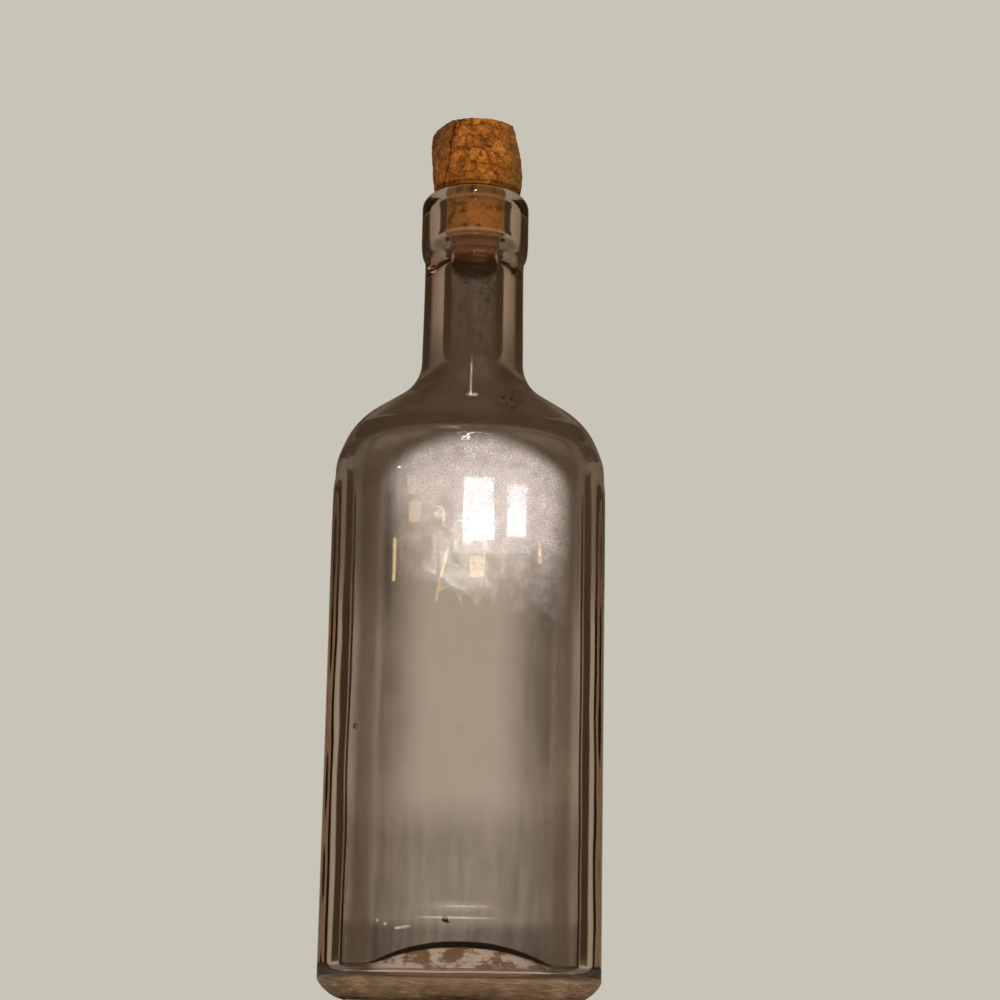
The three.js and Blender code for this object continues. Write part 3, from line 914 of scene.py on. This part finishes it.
def residue_and_painted_shade_material():
    """Brown film inside, partly real residue and partly painted shade: thin in the middle of the panels,
    thicker as painted shade at their sides and foot and in the neck, a painted dark line along the crest of
    the floor, and pale silt and crust below it that are partly painted reflections."""
    material, graph = new_material("brown_residue_and_painted_shade")
    place = object_place(graph)
    x, y, z = graph.parts(place)
    cloud = graph.noise(place, 55.0, 4.0, 0.6)
    runs = graph.noise(graph.vector(x, y, z * 0.15), 420.0, 3.0, 0.6)
    flat = abs(y).share(12 * MM, 15 * MM)
    # Painted shade: the film thickens at the panels' sides, behind at the foot and low down, and in the
    # neck, standing in for the dark surroundings and the bottle's own shadow seen through the glass
    side = abs(x + 1 * MM).share(8 * MM, 28 * MM) * abs(x).share(30 * MM, 26 * MM) * flat
    side = side * (0.35 + 0.65 * z.share(35 * MM, 75 * MM))  # painted shade, thinner low down
    foot = z.share(55 * MM, 40 * MM)
    neck = z.share(124 * MM, 148 * MM)
    specks = graph.noise(place, 800.0, 4.0, 0.75).share(0.52, 0.68)
    behind = y.share(-5 * MM, 5 * MM)
    low = z.share(21 * MM, 17 * MM)
    body = 0.015 + (0.22 + 0.12 * behind) * side + (0.2 * foot + 0.2 * low) * behind
    lean = y.share(-2 * MM, 2 * MM) * (5 * MM)
    # Wiped off by the cork, further down in front
    clear = (z - lean).share(STEM_FOOT - 4 * MM, STEM_FOOT - 5 * MM)
    under_cork = z.share(STEM_FOOT - 5 * MM, STEM_FOOT - 2 * MM) * behind
    thick = body * (1 - neck) + (0.28 + 0.4 * specks + 0.8 * under_cork) * neck * clear
    even = thick * (0.5 + cloud) * (0.55 + 0.9 * runs)
    _, _, facing = graph.parts(graph.node("ShaderNodeTexCoord")["Normal"])
    on_floor = z.share(16 * MM, 15 * MM) * abs(facing).share(0.5, 0.8)
    reach = x / (BODY_WIDTH / 2 - SIDE_WALL - INNER_HEEL_RADIUS)
    below_crest = FLOOR_EDGE_HEIGHT + FLOOR_RISE * (1 - reach * reach) - z
    broken = graph.noise(place, 210.0, 4.0, 0.65)
    # Painted shade: a dark line along the crest of the floor, where the thick glass turns the light away
    dark_arc = below_crest.share(DARK_ARC_FOOT, DARK_ARC_TOP) * on_floor
    # Partly painted reflection: pale silt and crust, brightened to stand in for the bright reflections in
    # the thick base
    silt_and_reflection = below_crest.share(DARK_ARC_TOP, DARK_ARC_FOOT) * on_floor * abs(x).share(26 * MM, 18 * MM)
    crust_and_reflection = silt_and_reflection * broken.share(0.42, 0.54)
    brown = graph.mix(dark_arc, RESIDUE_AND_SHADE, PAINTED_DARK_ARC)
    silt_reflected = graph.mix(silt_and_reflection, brown, SILT_AND_REFLECTION)
    colour = graph.mix(crust_and_reflection, silt_reflected, CRUST_AND_REFLECTION)
    alpha = (even + dark_arc * 0.9 + silt_and_reflection * 0.65 + crust_and_reflection * 0.35).at_most(0.99)
    sockets = {"Base Color": colour, "Roughness": 0.8, "Specular IOR Level": 0.1, "Alpha": alpha}
    set_surface(graph, sockets)
    return material


def painted_glint_marks(x, z):
    """Painted highlights near the front's foot, pale lines and marks that stand in for glints: two lines, a
    smear on the upper one and three marks.
    """
    low_glint_line = abs(z - GLINT_LINE_LOW).share(0.4 * MM, 0.1 * MM) * abs(x + 1 * MM).share(11 * MM, 3 * MM)
    high_glint_line = abs(z - GLINT_LINE_HIGH).share(0.4 * MM, 0.1 * MM) * abs(x - 1 * MM).share(8 * MM, 1 * MM)
    glint_smear = abs(z - GLINT_LINE_HIGH).share(1.8 * MM, 0.2 * MM) * abs(x).share(12 * MM, 1 * MM) * 0.3
    rubbed_and_glints = low_glint_line.at_least(high_glint_line).at_least(glint_smear)
    for mark_x, mark_z, half_width in GLINT_MARKS:
        beside = abs(x - mark_x).share(half_width, half_width - 0.3 * MM)
        off = abs(z - mark_z - (x - mark_x) * GLINT_MARK_LEAN)
        rubbed_and_glints = rubbed_and_glints.at_least(beside * off.share(0.5 * MM, 0.1 * MM))
    return rubbed_and_glints


def dust_and_painted_light_material():
    """Outside: brown grime, partly painted shade, on the bevels, along their front edges and on the
    shoulder and the neck, pale mauve dust in grains under the arch of the front panel with a painted glow
    round the window's glint, painted highlights as pale lines and marks near the panel's foot, soot at the
    root of the neck, and a scuffed heel."""
    material, graph = new_material("dust_grime_and_painted_light")
    place = object_place(graph)
    x, y, z = graph.parts(place)
    cloud = graph.noise(place, 70.0, 4.0, 0.6)
    runs = graph.noise(graph.vector(x, y, z * 0.12), 380.0, 3.0, 0.6)
    grain = graph.noise(place, 3000.0, 2.0, 0.7).share(0.36, 0.64)
    mottle = graph.noise(place, 300.0, 5.0, 0.75)
    flat = abs(y).share(*PANEL_START)
    shoulder = z.band(124 * MM, 140 * MM, 158 * MM, 176 * MM) * (1 - flat)
    bevel = abs(x).share(22 * MM, 27 * MM) * (1 - shoulder)
    neck = z.share(158 * MM, 172 * MM)
    front = (-y).share(*PANEL_START)
    bend = (x - ARCH_MIDDLE) / ARCH_BEND
    arch = z + bend * bend * ARCH_BEND
    brim = arch.share(ARCH_FOOT, ARCH_TOP) * front
    groove = z.band(LIP_FOOT - 3 * MM, LIP_FOOT, LIP_FOOT + 1 * MM, LIP_FOOT + 4 * MM)
    # Painted shade: grime along the bevels' front edges, on the bevels, the shoulder and the neck, standing
    # in for the dark surroundings that the glass shows
    seam = abs(x).band(20.5 * MM, 23 * MM, 25 * MM, 27 * MM) * (-y).share(2 * MM, 8 * MM)
    seam = seam * z.share(134 * MM, 126 * MM)
    high = z.share(88 * MM, 112 * MM)
    layer = 0.015 + 0.34 * seam + (0.03 + 0.2 * high) * bevel + 0.3 * shoulder + 0.04 * neck
    layer = layer + 0.2 * groove + brim * (0.3 + 0.8 * grain) * mottle
    grime_and_shade = layer * (0.6 + 0.8 * cloud) * (0.6 + 0.8 * runs)
    across = x.band(-23 * MM, -13 * MM, 21 * MM, 27 * MM)
    ragged = z + x * 0.35 + (mottle - 0.5) * (26 * MM)
    upright = arch.share(ARCH_TOP + 0.5 * MM, ARCH_FOOT) * ragged.share(94 * MM, 126 * MM)
    # Painted glow: the pale dust is thickest round the window's glint on the panel
    middle = graph.distance(place, GLOW_MIDDLE).share(GLOW_REACH, 4 * MM)
    haze_and_glow = across * upright * front * (0.3 + 1.2 * mottle) * (0.4 + 1.2 * cloud)
    haze_and_glow = haze_and_glow * (0.21 + 0.2 * grain) * (0.65 + 0.6 * middle)
    # Painted highlights: pale lines and marks near the panel's foot, in the pale dust
    rubbed_and_glints = painted_glint_marks(x, z) * front * mottle.share(0.3, 0.62) * (0.4 + 0.6 * grain) * 0.34
    haze_and_glow = haze_and_glow + rubbed_and_glints
    soot = graph.distance(place, SOOT_PLACE).share(SOOT_REACH, 1 * MM)
    soot = soot * graph.noise(place, 900.0, 3.0, 0.7).share(0.45, 0.6)
    heel = z.share(SCUFFS_TOP, SCUFFS_TOP - 1.5 * MM)
    scuffs = graph.noise(graph.vector(x * 0.12, y * 0.12, z), 2600.0, 4.0, 0.75)
    flecks = graph.noise(graph.vector(x * 0.2, y * 0.2, z), 1300.0, 4.0, 0.75).share(0.58, 0.75)
    worn = heel * (0.3 + 0.2 * scuffs + 0.2 * flecks)
    tint = graph.mix(haze_and_glow / (haze_and_glow + grime_and_shade), GRIME_AND_SHADE, PALE_DUST_AND_GLOW)
    sooty = graph.mix(soot, tint, SOOT)
    scratched = graph.mix(flecks, graph.ramp(scuffs, SCUFF_TONES), FLECK)
    colour = graph.mix(heel, sooty, scratched)
    alpha = (grime_and_shade + haze_and_glow + worn + soot * 0.7).at_most(0.92)
    sockets = {"Base Color": colour, "Roughness": 0.6, "Specular IOR Level": 0.1, "Alpha": alpha}
    set_surface(graph, sockets)
    return material


def crumb_material():
    material, graph = new_material("dark_crumb")
    sockets = {"Base Color": DARK_CRUMB, "Roughness": 0.9}
    set_surface(graph, sockets)
    return material


def cork_material():
    """Raw cork: orange-brown grains with dark seams and pits, paler in the mouth, stained at the foot, with
    painted highlights as pale rings.
    """
    material, graph = new_material("raw_cork")
    place = object_place(graph)
    x, _, z = graph.parts(place)
    edges, own = grain_edges(graph, place)
    broad = graph.noise(place, 160.0, 2.0)
    mottle = graph.noise(place, 620.0, 3.0, 0.6)
    fine = graph.noise(place, 1300.0, 4.0, 0.75)
    tone = 0.36 + 0.12 * edges.share(0.0, 0.3) + (own - 0.5) * 0.24 + (broad - 0.5) * 0.4
    tone = tone + (mottle - 0.5) * 0.8 + (fine - 0.5) * 1.5
    raw = graph.ramp(tone, CORK_TONES)
    flake = attribute(graph, "flake")
    aged = graph.mix(flake * 0.75, raw, AGED_CORK)
    olive = graph.mix(x.share(5 * MM, 11 * MM) * 0.6, aged, OLIVE_CORK)
    seam = (1 - edges.share(0.0, 0.1)) * graph.noise(place, 240.0).share(0.4, 0.55)
    dark = (seam * 0.5).at_least(attribute(graph, "pits") * 0.7)
    dark = dark.at_least(attribute(graph, "crack") * 0.92)
    marked = graph.mix(dark, olive, CORK_SEAM)
    in_bore = z.share(RIM + 0.3 * MM, RIM - 0.5 * MM)
    patches = graph.noise(place, 330.0, 4.0, 0.7).share(0.46, 0.66)
    shank = graph.mix(patches * 0.85, PALE_SHANK, DARK_SHANK)
    rubbed_and_glints = graph.mix(in_bore * 0.75, marked, shank)
    stain = z.share(SHANK_FOOT, SHANK_FOOT - LEDGE_HEIGHT)
    stained = graph.mix(stain * 0.85, rubbed_and_glints, STAINED_CORK)
    # Painted highlights: pale rings where the glass's edges would glint over the cork
    depth = RIM - z
    glint_share = depth.band(*TOP_GLINT_RING) * 0.8
    for ring in GLINT_RINGS:
        glint_share = glint_share.at_least(depth.band(*ring))
    glinted = graph.mix(glint_share * 0.75, stained, CORK_GLINT)
    sockets = {"Base Color": glinted, "Roughness": 0.85, "Specular IOR Level": 0.2}
    set_surface(graph, sockets)
    return material


# Stage

def camera_axes():
    """The camera's right, up and backward directions."""
    back = Vector((0, -math.cos(CAMERA_ELEVATION), math.sin(CAMERA_ELEVATION)))
    right = Vector((0, 0, 1)).cross(back).normalized()
    up = back.cross(right)
    turned_right = right * math.cos(CAMERA_ROLL) + up * math.sin(CAMERA_ROLL)
    turned_up = up * math.cos(CAMERA_ROLL) - right * math.sin(CAMERA_ROLL)
    return turned_right, turned_up, back


RIGHT, UP, BACK = camera_axes()
EYE = CAMERA_TARGET + BACK * CAMERA_DISTANCE


def add_camera():
    lens = bpy.data.cameras.new("camera")
    lens.sensor_width = SENSOR
    lens.lens = FOCAL_PIXELS / PHOTO_SIDE * SENSOR
    lens.clip_start = 0.01
    camera = bpy.data.objects.new("camera", lens)
    camera.matrix_world = Matrix.Translation(EYE) @ Matrix((RIGHT, UP, BACK)).transposed().to_4x4()
    bpy.context.scene.collection.objects.link(camera)
    bpy.context.scene.camera = camera


def add_world():
    """Plain light and a pale backdrop. Mirrored or bent by the glass, the room has a dark ceiling and,
    above the table, dark walls at the sides and in front."""
    world = bpy.data.worlds.new("studio")
    bpy.context.scene.world = world
    world.use_nodes = True
    world.node_tree.nodes.clear()
    graph = Graph(world.node_tree)
    path = graph.node("ShaderNodeLightPath")
    seen = path["Is Camera Ray"].at_least(path["Is Glossy Ray"]).at_least(path["Is Transmission Ray"])
    seen = seen * (1 - path["Diffuse Depth"].above(0.5))  # a dull surface behind glass gets the plain light
    aside, away, up = graph.parts(graph.node("ShaderNodeTexCoord")["Generated"])
    mirrored = path["Is Reflection Ray"]
    side = abs(aside).share(0.62, 0.76).at_least(abs(aside).share(0.1, 0.35) * mirrored)
    walls = side.at_least((-away).share(0.15, 0.5)) * up.share(-0.2, -0.02)
    ceiling = up.share(0.5, 0.85).at_least(up.share(0.3, 0.6) * mirrored)
    dark = walls.at_least(ceiling) * (1 - path["Is Camera Ray"])
    room = graph.mix(dark, PALE, DIM)
    backdrop = graph.node("ShaderNodeBackground", {}, {"Color": room, "Strength": 1.0})["Background"]
    plain = {"Color": (1, 1, 1, 1), "Strength": PLAIN_LIGHT}
    light = graph.node("ShaderNodeBackground", {}, plain)["Background"]
    mixed = graph.node("ShaderNodeMixShader", {}, {0: seen, 1: light, 2: backdrop})["Shader"]
    graph.node("ShaderNodeOutputWorld", {}, {"Surface": mixed})


def add_lamp(name, place, target, width, height, radiance, colour=(1, 1, 1)):
    """A rectangular lamp of even brightness, hidden from the camera itself."""
    light = bpy.data.lights.new(name, "AREA")
    light.shape = "RECTANGLE"
    light.size = width
    light.size_y = height
    light.energy = 4 * width * height * radiance
    light.color = colour
    lamp = bpy.data.objects.new(name, light)
    lamp.location = place
    lamp.rotation_euler = (Vector(target) - Vector(place)).to_track_quat("-Z", "Y").to_euler()
    lamp.visible_camera = False
    bpy.context.scene.collection.objects.link(lamp)
    return lamp


def add_glint(name, pixel, pixels_wide, pixels_high, radiance, colour):
    """A small lamp that the front panel mirrors at one place of the picture, at a size in its pixels."""
    aside = pixel[0] - PANEL_MIDDLE
    bulge = (abs(aside) / PANEL_BULGE) ** 7
    aside = PANEL_MIDDLE + aside * (1 + bulge)
    pixels_wide *= 1 + 8 * bulge
    way = RIGHT * (aside - PHOTO_SIDE / 2) + UP * (PHOTO_SIDE / 2 - pixel[1]) - BACK * FOCAL_PIXELS
    panel = -BODY_DEPTH / 2 + DUST_ROOM
    spot = EYE + way * ((panel - EYE.y) / way.y)
    bounced = Vector((way.x, -way.y, way.z)).normalized()
    scale = ((spot - EYE).length + GLINT_REACH) / FOCAL_PIXELS
    place = spot + bounced * GLINT_REACH
    add_lamp(name, place, spot, pixels_wide * scale, pixels_high * scale, radiance, colour)


def add_lights():
    """A soft key light, the glints on the front panel, and a lamp each for its arch and the neck's root."""
    for step in range(KEY_LAMPS):
        side = KEY_SIZE + KEY_GROWTH * step
        key = add_lamp("key", KEY_PLACE, KEY_TARGET, side, side, KEY_RADIANCE)
        key.visible_glossy = False
    # Name, middle, width, height and softness in pixels, radiance, colour
    for name, pixel, wide, high, soft, radiance, colour in (
        ("left_pane", LEFT_PANE, 20, 46, 4, 230, COOL),
        ("right_pane", RIGHT_PANE, 9, 40, 3, 230, COOL),
        ("halo", HALO, 56, 54, 10, 24, COOL),
        ("warm_low", WARM_LOW, 7, 14, 3, 36, WARM),
        ("warm_left", WARM_LEFT, 6, 14, 2, 30, WARM),
        ("left_streak", LEFT_STREAK, 1, 42, 1, 48, WARM),
        ("left_glint", LEFT_GLINT, 3, 12, 2, 25, PEARL),
        ("right_streak", RIGHT_STREAK, 2, 20, 1, 60, WARM),
        ("right_glint", RIGHT_GLINT, 2, 14, 1, 60, PEARL),
        ("top_streak", TOP_STREAK, 2, 16, 1, 60, PEARL),
        ("dot", DOT, 2, 3, 1, 200, PEARL),
    ):
        for step in range(GLINT_LAMPS):
            size = [max(1, pixels + (step - 1) * soft) for pixels in (wide, high)]
            add_glint(name, pixel, *size, radiance / GLINT_LAMPS, colour)
    add_lamp("arch", ARCH_LAMP, SHOULDER_TARGET, 0.12, 0.05, 40, PEARL)
    add_lamp("root", ROOT_LAMP, SHOULDER_TARGET, 0.014, 0.5, 45, PEARL)


def add_floor():
    """Pale floor that is clear from below, because the camera looks up from a little under it."""
    material, graph = new_material("pale_floor")
    sockets = {"Base Color": FLOOR, "Roughness": 0.9}
    sheet = graph.node("ShaderNodeBsdfPrincipled", {}, sockets)["BSDF"]
    clear = graph.node("ShaderNodeBsdfTransparent")["BSDF"]
    below = graph.node("ShaderNodeNewGeometry")["Backfacing"]
    mixed = graph.node("ShaderNodeMixShader", {}, {0: below, 1: sheet, 2: clear})["Shader"]
    graph.node("ShaderNodeOutputMaterial", {}, {"Surface": mixed})
    half = FLOOR_HALF
    mesh = bpy.data.meshes.new("floor")
    corners = ((-half, -half), (half, -half), (half, half), (-half, half))
    mesh.from_pydata([(x, y, FLOOR_HEIGHT) for x, y in corners], [], [(0, 1, 2, 3)])
    mesh.materials.append(material)
    floor = bpy.data.objects.new("floor", mesh)
    floor.visible_transmission = False  # through its base the glass shows the backdrop, not its shadow
    bpy.context.scene.collection.objects.link(floor)


add_camera()
add_world()
add_floor()
add_lights()
bpy.context.scene.view_settings.view_transform = "Standard"
bpy.context.scene.cycles.transparent_max_bounces = 32
bpy.context.scene.cycles.max_bounces = 24
bpy.context.scene.cycles.transmission_bounces = 20
bpy.context.scene.cycles.glossy_bounces = 10

glass = glass_piece(glass_material())
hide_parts("glass_bottle")
dust_and_painted_light = dust_and_painted_light_piece(dust_and_painted_light_material())
residue_and_shade = residue_and_painted_shade_piece(residue_and_painted_shade_material())
for piece in (glass, dust_and_painted_light, residue_and_shade):
    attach(piece, "bottle")

crumb = crumb_piece(crumb_material())
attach(crumb, "bottle")

cork = cork_piece(cork_material())
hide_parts("cork_stopper")
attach(cork, "cork")
